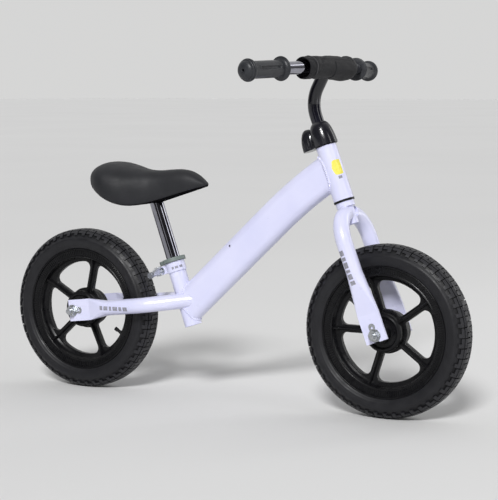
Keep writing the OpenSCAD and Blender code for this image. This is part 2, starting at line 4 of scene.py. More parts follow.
import json
import math

import bmesh
import bpy
from mathutils import Matrix, Vector, noise
from mathutils.bvhtree import BVHTree
from mathutils.geometry import delaunay_2d_cdt

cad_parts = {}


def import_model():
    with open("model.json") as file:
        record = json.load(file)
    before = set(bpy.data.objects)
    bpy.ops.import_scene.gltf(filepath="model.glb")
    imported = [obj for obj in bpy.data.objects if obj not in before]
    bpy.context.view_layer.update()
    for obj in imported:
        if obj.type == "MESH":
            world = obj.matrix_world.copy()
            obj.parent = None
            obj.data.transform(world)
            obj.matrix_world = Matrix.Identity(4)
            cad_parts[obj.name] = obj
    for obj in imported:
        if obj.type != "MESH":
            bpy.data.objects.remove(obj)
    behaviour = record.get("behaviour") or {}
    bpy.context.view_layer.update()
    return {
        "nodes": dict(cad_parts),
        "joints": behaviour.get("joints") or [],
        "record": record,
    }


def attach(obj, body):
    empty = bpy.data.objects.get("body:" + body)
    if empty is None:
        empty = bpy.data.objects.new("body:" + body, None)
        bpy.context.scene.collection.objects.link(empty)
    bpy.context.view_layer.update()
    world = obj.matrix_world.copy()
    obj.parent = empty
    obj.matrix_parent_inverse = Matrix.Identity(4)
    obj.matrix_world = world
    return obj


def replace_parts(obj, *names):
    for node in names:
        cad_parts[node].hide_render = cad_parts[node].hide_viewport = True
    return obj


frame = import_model()

MM = 0.001
NODES = frame["nodes"]
JOINTS = {j["name"]: j for j in frame["joints"]}

# ---- The CAD model's own axes ----

FRONT = Vector(JOINTS["front_wheel_spin"]["pos_m"])
REAR = Vector(JOINTS["rear_wheel_spin"]["pos_m"])
HEAD_TILT = math.atan2(-JOINTS["steering"]["axis"][0], JOINTS["steering"]["axis"][2])
SEAT_TILT = math.atan2(-JOINTS["saddle_height"]["axis"][0], JOINTS["saddle_height"]["axis"][2])


def turn(angle, axis):
    return Matrix.Rotation(angle, 4, axis)


def shift(x, y, z):
    return Matrix.Translation((x, y, z))


STEERING = Matrix.Translation(FRONT) @ turn(-HEAD_TILT, "Y")
# The seat tube's line starts at its foot.
SEAT_FOOT = (-76 * MM, 0, 132.5 * MM)
SEAT = shift(*SEAT_FOOT) @ turn(-SEAT_TILT, "Y")

# Handlebar: the stem's bend, the bar's pitch, and the sweep of each half.
STEM_BEND = math.radians(48)
STEM_BEND_R = 62 * MM
STEM_TOP = 38 * MM
STEM_BEND_LO = 389 * MM
BAR_PITCH = math.radians(10.4)
BAR_SWEEP = math.radians(10.3)
BAR_BEND_Y = 62 * MM
BAR_BEND_R = 100 * MM
BAR_R = 11.1 * MM
BAR_HALF = 236 * MM
BAR_ARC = BAR_BEND_R * math.sin(BAR_SWEEP)
BAR_END = (BAR_HALF - BAR_BEND_Y - BAR_ARC) / math.cos(BAR_SWEEP)
BAR_MIDDLE = (
    STEERING
    @ shift(
        STEM_BEND_R * (1 - math.cos(STEM_BEND)) + STEM_TOP * math.sin(STEM_BEND),
        0,
        STEM_BEND_LO + STEM_BEND_R * math.sin(STEM_BEND) + STEM_TOP * math.cos(STEM_BEND),
    )
    @ turn(HEAD_TILT - BAR_PITCH, "Y")
)


def after_sweep(side):
    """The axes of the bar's straight end, z outwards. Side is 1 on the right and -1 on the left."""
    half = BAR_MIDDLE @ turn(side * math.pi / 2, "X") @ turn(math.pi, "Z") @ shift(0, 0, BAR_BEND_Y)
    return half @ shift(BAR_BEND_R * (1 - math.cos(BAR_SWEEP)), 0, BAR_ARC) @ turn(BAR_SWEEP, "Y")


# ---- Mesh helpers ----


def polar(radius, angle, height):
    return Vector((radius * math.cos(angle), radius * math.sin(angle), height))


def whole_turn(count):
    """Evenly spaced angles, once round."""
    return [2 * math.pi * i / count for i in range(count)]


def in_mm(points):
    return [(a * MM, b * MM) for a, b in points]


class Shape:
    """Gathers the vertices and faces of one piece."""

    def __init__(self):
        self.verts = []
        self.faces = []
        self.raised = {}

    def add(self, verts, faces):
        start = len(self.verts)
        self.verts += [Vector(v) for v in verts]
        self.faces += [[start + i for i in f] for f in faces]

    def loft(self, rings, round_ring=True, cap_start=True, cap_end=True, round_path=False):
        """Joins rings of equal length, each a list of points."""
        count = len(rings[0])
        faces = []
        spans = len(rings) if round_path else len(rings) - 1
        for i in range(spans):
            k = (i + 1) % len(rings)
            for j in range(count if round_ring else count - 1):
                n = (j + 1) % count
                faces.append([i * count + j, i * count + n, k * count + n, k * count + j])
        if not round_path:
            if cap_start:
                faces.append(list(range(count))[::-1])
            if cap_end:
                faces.append([(len(rings) - 1) * count + j for j in range(count)])
        self.add([p for ring in rings for p in ring], faces)

    def lathe(self, place, profile, steps):
        """Turns (radius, height) points round the z axis of place."""
        rings = [[place @ polar(r, a, z) for r, z in profile] for a in whole_turn(steps)]
        self.loft(rings, round_path=True)

    def make(self, name, material, body, sharp=35):
        mesh = bpy.data.meshes.new(name)
        mesh.from_pydata(self.verts, [], self.faces)
        if self.raised:
            values = mesh.attributes.new("raised", "FLOAT", "POINT")
            values.data.foreach_set("value", [self.raised.get(i, 0.5) for i in range(len(self.verts))])
        mesh.validate()
        piece = bpy.data.objects.new(name, mesh)
        bpy.context.scene.collection.objects.link(piece)
        smooth(mesh, sharp)
        mesh.materials.append(material)
        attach(piece, body)
        return piece


def smooth(mesh, sharp):
    """Shades the mesh smooth, apart from edges sharper than this many degrees."""
    bm = bmesh.new()
    bm.from_mesh(mesh)
    bmesh.ops.remove_doubles(bm, verts=bm.verts, dist=1e-7)
    bmesh.ops.recalc_face_normals(bm, faces=bm.faces)
    for face in bm.faces:
        face.smooth = True
    for edge in bm.edges:
        edge.smooth = edge.calc_face_angle(0.0) < math.radians(sharp)
    bm.to_mesh(mesh)
    bm.free()


def arc(centre, radius, start, end, steps):
    """Points on an arc, with its angles in degrees."""
    points = []
    for i in range(steps + 1):
        a = math.radians(start + (end - start) * i / steps)
        points.append((centre[0] + radius * math.cos(a), centre[1] + radius * math.sin(a)))
    return points


def mix(a, b, t):
    return a + (b - a) * t


def ease(t):
    t = min(1.0, max(0.0, t))
    return t * t * (3 - 2 * t)


# ---- Materials ----


class Finish:
    """A node material: a Principled shader with object coordinates and a chain of bumps."""

    def __init__(self, name, colour, roughness, **values):
        self.material = bpy.data.materials.new(name)
        self.material.use_nodes = True
        self.tree = self.material.node_tree
        self.shader = self.tree.nodes["Principled BSDF"]
        self.shader.inputs["Base Color"].default_value = (*colour, 1)
        self.shader.inputs["Roughness"].default_value = roughness
        for key, value in values.items():
            self.shader.inputs[key.replace("_", " ")].default_value = value
        self.coords = self.node("ShaderNodeTexCoord").outputs["Object"]

    def node(self, kind, **settings):
        made = self.tree.nodes.new(kind)
        for key, value in settings.items():
            setattr(made, key, value)
        return made

    def link(self, a, b):
        self.tree.links.new(a, b)

    def noise(self, scale, detail):
        made = self.node("ShaderNodeTexNoise")
        made.inputs["Scale"].default_value = scale
        made.inputs["Detail"].default_value = detail
        self.link(self.coords, made.inputs["Vector"])
        return made.outputs["Fac"]

    def cells(self, scale):
        made = self.node("ShaderNodeTexVoronoi")
        made.inputs["Scale"].default_value = scale
        self.link(self.coords, made.inputs["Vector"])
        return made.outputs["Distance"]

    def ramp(self, source, low, high, low_value, high_value):
        made = self.node("ShaderNodeMapRange")
        made.inputs["From Min"].default_value = low
        made.inputs["From Max"].default_value = high
        made.inputs["To Min"].default_value = low_value
        made.inputs["To Max"].default_value = high_value
        self.link(source, made.inputs["Value"])
        return made.outputs["Result"]

    def colour_by(self, source, low, high, colour_low, colour_high):
        """The base colour runs from one colour to the other as source goes from low to high."""
        made = self.node("ShaderNodeMix", data_type="RGBA")
        made.inputs["A"].default_value = (*colour_low, 1)
        made.inputs["B"].default_value = (*colour_high, 1)
        self.link(self.ramp(source, low, high, 0, 1), made.inputs["Factor"])
        self.link(made.outputs["Result"], self.shader.inputs["Base Color"])

    def rough_by(self, source, low, high, rough_low, rough_high):
        self.link(self.ramp(source, low, high, rough_low, rough_high), self.shader.inputs["Roughness"])

    def bump(self, source, strength, distance):
        made = self.node("ShaderNodeBump")
        made.inputs["Strength"].default_value = strength
        made.inputs["Distance"].default_value = distance
        self.link(source, made.inputs["Height"])
        target = self.shader.inputs["Normal"]
        if target.is_linked:
            self.link(target.links[0].from_socket, made.inputs["Normal"])
        self.link(made.outputs["Normal"], target)


def frame_paint():
    f = Finish("frame_paint", (0.70, 0.70, 0.93), 0.34, Coat_Weight=0.7, Coat_Roughness=0.07)
    f.colour_by(f.noise(14, 4), 0.3, 0.7, (0.68, 0.69, 0.93), (0.74, 0.745, 0.96))
    f.rough_by(f.noise(55, 3), 0.3, 0.7, 0.27, 0.38)
    f.bump(f.noise(420, 2), 0.06, 0.0004)
    return f.material


def badge_yellow():
    f = Finish("badge_yellow", (0.80, 0.55, 0.06), 0.35, Coat_Weight=0.6, Coat_Roughness=0.1)
    f.colour_by(f.noise(300, 3), 0.3, 0.7, (0.84, 0.74, 0.09), (0.95, 0.86, 0.16))
    f.bump(f.noise(900, 2), 0.1, 0.0002)
    return f.material


def print_grey():
    f = Finish("print_grey", (0.16, 0.16, 0.20), 0.5)
    f.colour_by(f.noise(500, 2), 0.3, 0.7, (0.20, 0.20, 0.24), (0.38, 0.38, 0.45))
    f.bump(f.noise(1500, 2), 0.1, 0.0001)
    return f.material


def gloss_black():
    f = Finish("gloss_black_paint", (0.005, 0.005, 0.009), 0.10, Specular_IOR_Level=0.45, Coat_Weight=0.25,
               Coat_Roughness=0.04)
    f.colour_by(f.noise(30, 3), 0.3, 0.7, (0.005, 0.005, 0.009), (0.011, 0.011, 0.018))
    f.rough_by(f.noise(60, 4), 0.35, 0.7, 0.06, 0.13)
    f.bump(f.noise(350, 2), 0.05, 0.0003)
    return f.material


def gloss_cover():
    f = Finish("gloss_cover", (0.007, 0.007, 0.010), 0.14, Specular_IOR_Level=0.5, Coat_Weight=0.15,
               Coat_Roughness=0.08)
    f.colour_by(f.noise(40, 3), 0.3, 0.7, (0.008, 0.008, 0.011), (0.016, 0.016, 0.021))
    f.rough_by(f.noise(90, 4), 0.3, 0.7, 0.12, 0.24)
    f.bump(f.noise(600, 3), 0.10, 0.0003)
    return f.material


def wheel_plastic():
    f = Finish("wheel_plastic", (0.007, 0.007, 0.008), 0.30, Specular_IOR_Level=0.22)
    f.colour_by(f.noise(60, 4), 0.3, 0.7, (0.004, 0.004, 0.005), (0.008, 0.008, 0.009))
    f.rough_by(f.noise(120, 4), 0.3, 0.7, 0.24, 0.38)
    f.bump(f.noise(1500, 3), 0.18, 0.0002)
    return f.material


def black_plastic():
    f = Finish("black_plastic", (0.008, 0.008, 0.009), 0.40, Specular_IOR_Level=0.25)
    f.colour_by(f.noise(80, 4), 0.3, 0.7, (0.005, 0.005, 0.006), (0.012, 0.012, 0.014))
    f.bump(f.noise(1400, 3), 0.2, 0.0002)
    return f.material


def grey_plastic():
    f = Finish("grey_plastic", (0.17, 0.21, 0.20), 0.45)
    f.colour_by(f.noise(90, 4), 0.3, 0.7, (0.15, 0.185, 0.175), (0.21, 0.25, 0.235))
    f.bump(f.noise(1200, 3), 0.2, 0.0002)
    return f.material


def tyre_rubber():
    f = Finish("tyre_rubber", (0.012, 0.012, 0.014), 0.50, Specular_IOR_Level=0.30)
    # Block faces are painted paler, partly as scuffed wear and partly as a painted sheen, and the grooves
    # are painted dark as painted shade.
    raised = f.node("ShaderNodeAttribute", attribute_name="raised").outputs["Fac"]
    scuff_and_painted_shade = f.node("ShaderNodeMath", operation="MULTIPLY_ADD")
    f.link(f.noise(45, 5), scuff_and_painted_shade.inputs[0])
    scuff_and_painted_shade.inputs[1].default_value = 0.6
    f.link(raised, scuff_and_painted_shade.inputs[2])
    f.colour_by(scuff_and_painted_shade.outputs["Value"], 0.2, 1.5, (0.002, 0.002, 0.003), (0.026, 0.026, 0.030))
    f.rough_by(f.noise(80, 4), 0.3, 0.7, 0.36, 0.58)
    f.bump(f.noise(900, 4), 0.35, 0.0003)
    return f.material


def tube_rubber():
    f = Finish("tube_rubber", (0.018, 0.018, 0.019), 0.5, Specular_IOR_Level=0.3)
    f.colour_by(f.noise(120, 3), 0.3, 0.7, (0.012, 0.012, 0.013), (0.026, 0.026, 0.028))
    f.bump(f.noise(1600, 3), 0.2, 0.0002)
    return f.material


def grip_rubber():
    f = Finish("grip_rubber", (0.034, 0.036, 0.041), 0.36, Specular_IOR_Level=0.40)
    f.colour_by(f.noise(110, 4), 0.3, 0.7, (0.018, 0.0195, 0.023), (0.029, 0.031, 0.036))
    f.rough_by(f.noise(160, 4), 0.3, 0.7, 0.32, 0.50)
    f.bump(f.noise(1300, 3), 0.22, 0.0002)
    return f.material


def zinc():
    f = Finish("zinc_steel", (0.50, 0.52, 0.54), 0.30, Metallic=1.0)
    f.colour_by(f.noise(300, 4), 0.3, 0.7, (0.42, 0.44, 0.46), (0.62, 0.64, 0.66))
    f.rough_by(f.noise(500, 4), 0.3, 0.7, 0.28, 0.44)
    f.bump(f.noise(1200, 3), 0.12, 0.0002)
    return f.material


def satin_steel():
    f = Finish("satin_steel", (0.60, 0.62, 0.66), 0.34, Metallic=0.75)
    f.colour_by(f.noise(300, 4), 0.3, 0.7, (0.54, 0.56, 0.60), (0.68, 0.70, 0.75))
    f.rough_by(f.noise(500, 4), 0.3, 0.7, 0.28, 0.44)
    f.bump(f.noise(1200, 3), 0.10, 0.0002)
    return f.material


def dull_steel():
    f = Finish("dull_steel", (0.22, 0.23, 0.26), 0.42, Metallic=0.6)
    f.colour_by(f.noise(400, 3), 0.3, 0.7, (0.17, 0.18, 0.21), (0.27, 0.28, 0.31))
    f.bump(f.noise(1500, 3), 0.2, 0.0002)
    return f.material


def pan_black():
    f = Finish("pan_black", (0.006, 0.006, 0.007), 0.9, Specular_IOR_Level=0.0)
    f.colour_by(f.noise(90, 4), 0.3, 0.7, (0.004, 0.004, 0.005), (0.009, 0.009, 0.010))
    f.bump(f.noise(900, 3), 0.2, 0.0002)
    return f.material


def dark_chrome():
    f = Finish("dark_chrome", (0.30, 0.30, 0.34), 0.07, Metallic=1.0)
    f.colour_by(f.noise(60, 3), 0.3, 0.7, (0.26, 0.26, 0.30), (0.34, 0.34, 0.38))
    f.rough_by(f.noise(90, 4), 0.35, 0.75, 0.05, 0.10)
    f.bump(f.noise(500, 2), 0.03, 0.0002)
    return f.material


def saddle_vinyl():
    f = Finish("saddle_vinyl", (0.014, 0.014, 0.016), 0.56, Specular_IOR_Level=0.40)
    f.colour_by(f.noise(22, 5), 0.3, 0.7, (0.010, 0.0105, 0.013), (0.017, 0.0175, 0.021))
    f.rough_by(f.noise(70, 4), 0.3, 0.7, 0.52, 0.64)
    f.bump(f.cells(620), 0.30, 0.0003)
    f.bump(f.noise(1800, 3), 0.15, 0.0002)
    return f.material


def pad_fabric():
    f = Finish("pad_fabric", (0.020, 0.020, 0.022), 0.85, Specular_IOR_Level=0.2, Sheen_Weight=0.06,
               Sheen_Roughness=0.5)
    f.colour_by(f.noise(60, 3), 0.3, 0.7, (0.011, 0.011, 0.013), (0.017, 0.017, 0.019))
    # A plain weave: two sets of threads, one along the bar and one across it.
    for axis in ("X", "Y"):
        threads = f.node("ShaderNodeTexWave", wave_type="BANDS", bands_direction=axis)
        threads.inputs["Scale"].default_value = 330
        threads.inputs["Distortion"].default_value = 0.6
        f.link(f.coords, threads.inputs["Vector"])
        f.bump(threads.outputs["Fac"], 0.35, 0.0002)
    return f.material


def piping_cord():
    f = Finish("piping_cord", (0.060, 0.060, 0.064), 0.7, Specular_IOR_Level=0.3)
    f.colour_by(f.noise(700, 3), 0.3, 0.7, (0.045, 0.045, 0.048), (0.085, 0.085, 0.090))
    f.bump(f.noise(2200, 2), 0.4, 0.0002)
    return f.material


FINISHES = {
    "frame_paint": frame_paint(),
    "grey_plastic": grey_plastic(),
    "zinc_steel": zinc(),
    "chrome_steel": dark_chrome(),
    "black_plastic": black_plastic(),
    "wheel_plastic": wheel_plastic(),
    "tyre_rubber": tyre_rubber(),
    "tube_rubber": tube_rubber(),
    "gloss_cover": gloss_cover(),
    "gloss_black_paint": gloss_black(),
    "grip_rubber": grip_rubber(),
    "pad_fabric": pad_fabric(),
    "saddle_vinyl": saddle_vinyl(),
}
YELLOW = badge_yellow()
PRINT = print_grey()
CORD = piping_cord()
KNOB = dull_steel()
SATIN = satin_steel()
PAN = pan_black()

for part in frame["record"]["subparts"]:
    mesh = NODES[part["node"]].data
    mesh.materials.clear()
    mesh.materials.append(FINISHES[part["material_slot"]])

# The lever is smoother and paler than the nuts.
NODES["quick_release_lever"].data.materials[0] = SATIN

# ---- Tyres ----

TYRE_R = 150 * MM
TYRE_HALF_W = 26.4 * MM
CROWN = 6.4 * MM
SHOULDER_R = 20 * MM
RIM_R = 114 * MM
BEAD_Y = 21.6 * MM
BEAD_R = RIM_R + 0.1 * MM
BEAD_DEPTH = 5 * MM
ARC_LEN = SHOULDER_R * math.pi / 2
SIDE_LEN = 16 * MM
GROOVE = 2.6 * MM
LINE_HEIGHT = 0.35 * MM
PITCHES = 26

# One pitch of the tread from its middle outwards: # is a block's face and . is a groove.
TREAD = [
    (3.2 * MM, ".###.#.#"),
    (1.7 * MM, ".#...#.#"),
    (4.6 * MM, ".#.###.#"),
    (1.6 * MM, "...#...#"),
    (5.0 * MM, ".###.###"),
    (1.6 * MM, "........"),
    (5.4 * MM, ".###.###"),
    (1.8 * MM, ".#...#.."),
    (3.4 * MM, ".#...#.."),
]
GROOVE_SHARE = 0.055
BLOCK_SHARE = 0.195


def wheel_axes(centre):
    """Axes with x forwards, y up and z towards the bike's right side."""
    return Matrix.Translation(centre) @ turn(math.pi / 2, "X")


def tyre_point(s, drop):
    """Radius and height on the tyre's outside, s from the crown along its curve, sunk by drop."""
    side = 1 if s >= 0 else -1
    s = abs(s)
    if s <= CROWN:
        return TYRE_R - drop, side * s
    t = (s - CROWN) / SHOULDER_R
    if t <= math.pi / 2:
        reach = SHOULDER_R - drop
        return TYRE_R - SHOULDER_R + reach * math.cos(t), side * (CROWN + reach * math.sin(t))
    q = (s - CROWN - ARC_LEN) / SIDE_LEN
    radius = mix(TYRE_R - SHOULDER_R, RIM_R + 0.6 * MM, q)
    return radius, side * (mix(TYRE_HALF_W, BEAD_Y, q * q) - drop)


def tyre(name, centre, body, cad_node, start):
    place = wheel_axes(centre) @ turn(start, "Z")
    shape = Shape()
    columns = [0.0]
    for i in range(8):
        columns.append(columns[-1] + (GROOVE_SHARE if i % 2 == 0 else BLOCK_SHARE))
    angles = [(p + c) * 2 * math.pi / PITCHES for p in range(PITCHES) for c in columns[:-1]]
    count = len(angles)
    edges = [0.0]
    for width, _ in TREAD:
        edges.append(edges[-1] + width)
    rows = [-e for e in edges[:0:-1]] + edges
    plans = [plan for _, plan in TREAD[::-1]] + [plan for _, plan in TREAD]
    half = len(TREAD)
    index = {}

    def corner(i, j, raised):
        key = (i % count, j, raised)
        if key not in index:
            radius, height = tyre_point(rows[j], 0 if raised else GROOVE)
            a = angles[i % count]
            index[key] = len(shape.verts)
            shape.raised[len(shape.verts)] = 1.0 if raised else 0.0
            shape.verts.append(place @ polar(radius, a, height))
        return index[key]

    def is_block(i, j):
        if not 0 <= j < len(plans):
            return False
        # The left half of the tread is set on by half a pitch's pattern.
        return plans[j][(i + (2 if j < half else 0)) % 8] == "#"

    for j in range(len(plans)):
        for i in range(count):
            up = is_block(i, j)
            shape.faces.append([corner(i, j, up), corner(i + 1, j, up),
                                corner(i + 1, j + 1, up), corner(i, j + 1, up)])
            if up != is_block(i + 1, j):
                shape.faces.append([corner(i + 1, j, True), corner(i + 1, j + 1, True),
                                    corner(i + 1, j + 1, False), corner(i + 1, j, False)])
            for k, other in ((j, j - 1), (j + 1, j + 1)):
                if up and not is_block(i, other):
                    shape.faces.append([corner(i, k, True), corner(i + 1, k, True),
                                        corner(i + 1, k, False), corner(i, k, False)])

    # The sidewalls: the groove's depth runs out, and fine raised lines circle the bead.
    last = edges[-1]
    end = CROWN + ARC_LEN + SIDE_LEN
    steps = 22
    for side in (-1, 1):
        rings = []
        for k in range(steps + 1):
            t = k / steps
            s = mix(last, end, t)
            lines = LINE_HEIGHT * max(0.0, math.cos(t * 34)) if t > 0.72 else 0
            drop = GROOVE * (1 - ease(t / 0.35)) - (lines if t < 0.97 else 0)
            radius, height = tyre_point(side * s, drop)
            rings.append([place @ polar(radius, a, height) for a in angles])
        radius, height = tyre_point(side * end, 0)
        for depth in (1.5 * MM, BEAD_DEPTH):
            rings.append([place @ polar(BEAD_R, a, height - side * depth) for a in angles])
        shape.loft(rings, cap_start=False, cap_end=False)
    # The bead's inner face closes the shape against the rim.
    inner = tyre_point(end, 0)[1] - BEAD_DEPTH
    rings = []
    for r, z in ((BEAD_R, inner), (RIM_R + 4 * MM, 0), (BEAD_R, -inner)):
        rings.append([place @ polar(r, a, z) for a in angles])
    shape.loft(rings, cap_start=False, cap_end=False)
    piece = shape.make(name, FINISHES["tyre_rubber"], body, sharp=30)
    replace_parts(piece, cad_node)
    return piece


# ---- Wheels ----

WINDOW_R = 88 * MM
WEB_HALF = 5.5 * MM
WEB_INNER_R = 30 * MM
WEB_OUTER_R = 92 * MM
WINDOW_LIP = 1.6 * MM
SPOKE_HALF = 6.5 * MM
OUTER_CORNER = 11 * MM
INNER_CORNER = 3.5 * MM
HUB_EDGE = 38 * MM
SPOKES = 5
HALF_TURN = math.pi / SPOKES
BAND_RIBS = 160
BAND_SLOPE = 0.153


def window_outline(grow):
    """The window centred on +x, as points, with its edge moved outwards by grow."""
    outer, inner = OUTER_CORNER + grow, INNER_CORNER + grow

    def on_spoke(offset, radius):
        along = math.sqrt(radius * radius - offset * offset)
        return (
            along * math.cos(HALF_TURN) + offset * math.sin(HALF_TURN),
            along * math.sin(HALF_TURN) - offset * math.cos(HALF_TURN),
        )

    far = on_spoke(SPOKE_HALF + OUTER_CORNER, WINDOW_R - OUTER_CORNER)
    near = on_spoke(SPOKE_HALF + INNER_CORNER, HUB_EDGE + INNER_CORNER)
    far_angle = math.degrees(math.atan2(far[1], far[0]))
    near_angle = math.degrees(math.atan2(near[1], near[0]))
    side_angle = math.degrees(HALF_TURN) + 90
    upper = arc((0, 0), WINDOW_R + grow, 0, far_angle, 10)[:-1]
    upper += arc(far, outer, far_angle, side_angle, 8)
    upper += arc(near, inner, side_angle, near_angle + 180, 7)
    upper += arc((0, 0), HUB_EDGE - grow, near_angle, 0, 5)[1:]
    return upper + [(x, -y) for x, y in upper[-2:0:-1]]


def rotated(points, angle):
    c, s = math.cos(angle), math.sin(angle)
    return [(c * x - s * y, s * x + c * y) for x, y in points]


def inside(point, outline):
    hit = False
    x, y = point
    for (x0, y0), (x1, y1) in zip(outline, outline[1:] + outline[:1]):
        if (y0 > y) != (y1 > y) and x < (x1 - x0) * (y - y0) / (y1 - y0) + x0:
            hit = not hit
    return hit


def web(shape, place, start):
    """The flat web between hub and rim, with rounded windows."""
    steps = 4
    face_outlines = []
    for i in range(SPOKES):
        angle = start + (i + 0.5) * 2 * math.pi / SPOKES
        rings = []
        for side in (-1, 1):
            levels = range(steps + 1) if side > 0 else range(steps, -1, -1)
            for k in levels:
                a = math.pi / 2 * k / steps
                outline = rotated(window_outline(WINDOW_LIP * (1 - math.cos(a))), angle)
                height = side * (WEB_HALF - WINDOW_LIP + WINDOW_LIP * math.sin(a))
                rings.append([place @ Vector((x, y, height)) for x, y in outline])
        shape.loft(rings, cap_start=False, cap_end=False)
        face_outlines.append(rotated(window_outline(WINDOW_LIP), angle))
    points = []
    edges = []
    loops = face_outlines[:]
    loops.append(arc((0, 0), WEB_INNER_R, 0, 360, 60)[:-1])
    loops.append(arc((0, 0), WEB_OUTER_R, 0, 360, 120)[:-1])
    for loop in loops:
        first = len(points)
        points += [Vector(p) for p in loop]
        edges += [(first + i, first + (i + 1) % len(loop)) for i in range(len(loop))]
    found, _, faces, _, _, _ = delaunay_2d_cdt(points, edges, [], 0, 1e-7)
    kept = []
    for face in faces:
        middle = sum((found[i] for i in face), Vector((0, 0))) / len(face)
        if WEB_INNER_R < middle.length < WEB_OUTER_R and not any(inside(middle, o) for o in face_outlines):
            kept.append(list(face))
    for side in (-1, 1):
        shape.add([place @ Vector((p.x, p.y, side * WEB_HALF)) for p in found], kept)


def mirrored(half_profile):
    """A closed outline from its half with positive heights."""
    return half_profile + [(r, -z) for r, z in half_profile[::-1]]


def spoke_ribs(shape, place, start):
    """A rib along the middle of each spoke, on both faces, that widens and rises at its ends."""
    for i in range(SPOKES):
        for side in (-1, 1):
            along = place @ turn(start + i * 2 * math.pi / SPOKES, "Z")
            rings = []
            for k in range(13):
                t = k / 12
                x = mix(31.5 * MM, 96.5 * MM, t)
                flare = 1.2 * (ease(1 - t * 5) + ease((t - 0.8) * 5))
                top = 9.6 + 4.5 * ease((t - 0.75) * 4) + 3 * ease(1 - t * 4)
                section = [(-3.0 - flare, 5), (-2.2, 6.6), (-1.6, top - 0.8), (-0.9, top),
                           (0.9, top), (1.6, top - 0.8), (2.2, 6.6), (3.0 + flare, 5)]
                rings.append([along @ Vector((x, y, side * z)) for y, z in in_mm(section)])
            shape.loft(rings)


def band_ribs(shape, place):
    """Fine ribs across the sloping band beside the tyre."""
    for side in (-1, 1):
        for angle in whole_turn(BAND_RIBS):
            along = place @ turn(angle, "Z")
            rings = []
            for radius, lift in ((101.6, 0.05), (102.4, 1.15), (109.0, 1.15), (110.2, 0.05)):
                base = 18.1 + (radius - 101) * BAND_SLOPE
                section = [(-0.85, base - 0.4), (-0.45, base + lift),
                           (0.45, base + lift), (0.85, base - 0.4)]
                rings.append([along @ Vector((radius * MM, y, side * z)) for y, z in in_mm(section)])
            shape.loft(rings)


def wheel(name, centre, body, cad_node, start):
    place = wheel_axes(centre)
    shape = Shape()
    web(shape, place, start)
    # Rim: window edge, wall, round ridge, ribbed band, flange, and the well under the tyre.
    rim = [(88.6, 3.2), (90, 5.2), (93.4, 6.6), (95.6, 9.5), (96.6, 13.5)]
    rim += arc((98.9, 17.4), 1.9, 190, 80, 6)
    rim += [(101.0, 18.1), (110.8, 19.6)]
    rim += arc((112.8, 21.4), 1.3, 185, 10, 6)
    rim += [(114.0, 18), (114.0, 15.5), (110.6, 14)]
    shape.lathe(place, mirrored(in_mm(rim)), 144)
    # Hub: bearing seat, recessed face, round flange and barrel.
    hub = [(8.2, 27.8), (13.05, 27.8), (13.05, 36), (15.6, 36)]
    hub += [(16.8, 34.8), (17.2, 23.5), (18.6, 22), (24.2, 22)]
    hub += arc((29.0, 21.2), 4.0, 170, 60, 7)
    hub += arc((31.4, 19.6), 2.6, 50, -10, 4)
    hub += [(33.2, 12), (32.2, 5)]
    shape.lathe(place, mirrored(in_mm(hub)), 96)
    spoke_ribs(shape, place, start)
    band_ribs(shape, place)
    piece = shape.make(name, FINISHES["wheel_plastic"], body, sharp=40)
    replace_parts(piece, cad_node)
    return piece


tyre("rear_tyre_tread", REAR, "rear_wheel", "rear_tyre", 0.03)
tyre("front_tyre_tread", FRONT, "front_wheel", "front_tyre", 0.0)
wheel("rear_wheel_moulding", REAR, "rear_wheel", "rear_wheel_core", math.radians(6))
wheel("front_wheel_moulding", FRONT, "front_wheel", "front_wheel_core", math.radians(36))

# ---- Grips ----

GRIP_LEN = 100 * MM
GRIP_START = BAR_END - GRIP_LEN + 5 * MM
GRIP_R = 14 * MM
SLOTS = 4
SLOT_AT = math.radians(4)
SLOT_MIDDLE = 43 * MM
SLOT_HALF = 24 * MM


def grip(name, side, cad_node):
    place = after_sweep(side) @ shift(0, 0, GRIP_START)
    shape = Shape()
    # Radius against length: flange, sleeve and the ringed cap.
    flange = [(11.3, 0.4), (12.5, 0.4)] + arc((19.2, 2.0), 1.35, -90, 90, 6) + [(15.2, 4.4), (14.4, 6.0)]
    sleeve = [(14.0, 6.0 + 1.1 * k) for k in range(1, 69)]
    cap = [(14.7, 82.0), (17.0, 83.6), (18.3, 85.2), (18.75, 86.8), (18.75, 88.6), (18.2, 89.6),
           (17.3, 89.8), (17.3, 90.8), (17.1, 92.0), (16.4, 92.9), (15.3, 93.2), (15.2, 94.1),
           (14.8, 95.4), (13.6, 96.8), (11.2, 98.3), (8.0, 99.4), (5.0, 99.9), (3.2, 100.0),
           (2.6, 99.5), (2.5, 94.5), (0.0, 94.5)]

    def slot_depth(angle, z):
        """Long rounded slots round the sleeve."""
        spacing = 2 * math.pi / SLOTS
        off = (angle - side * SLOT_AT + spacing / 2) % spacing - spacing / 2
        across = off * GRIP_R
        along = max(0.0, abs(z - SLOT_MIDDLE) - SLOT_HALF)
        reach = math.hypot(across, along)
        rim = 0.5 * MM * math.exp(-(((reach - 3.6 * MM) / (0.9 * MM)) ** 2))
        return 2.4 * MM * (1 - ease((reach - 1.6 * MM) / (1.2 * MM))) - rim

    rings = []
    for radius, z in in_mm(flange + sleeve + cap):
        on_sleeve = 8 * MM < z < 80 * MM
        rings.append([place @ polar(radius - (slot_depth(a, z) if on_sleeve else 0), a, z)
                      for a in whole_turn(120)])
    shape.loft(rings, cap_start=False, cap_end=True)
    piece = shape.make(name, FINISHES["grip_rubber"], "handlebar", sharp=50)
    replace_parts(piece, cad_node)
    return piece


grip("right_grip_sleeve", 1, "right_grip")
grip("left_grip_sleeve", -1, "left_grip")

# ---- Bar pad ----

PAD_R = 19.35 * MM
PAD_HALF = 86 * MM
PIPING_R = 0.75 * MM
# The seams, as shares of the pad's half length.
MOUTH_SEAM = 0.80
FAR_SEAM = -0.90


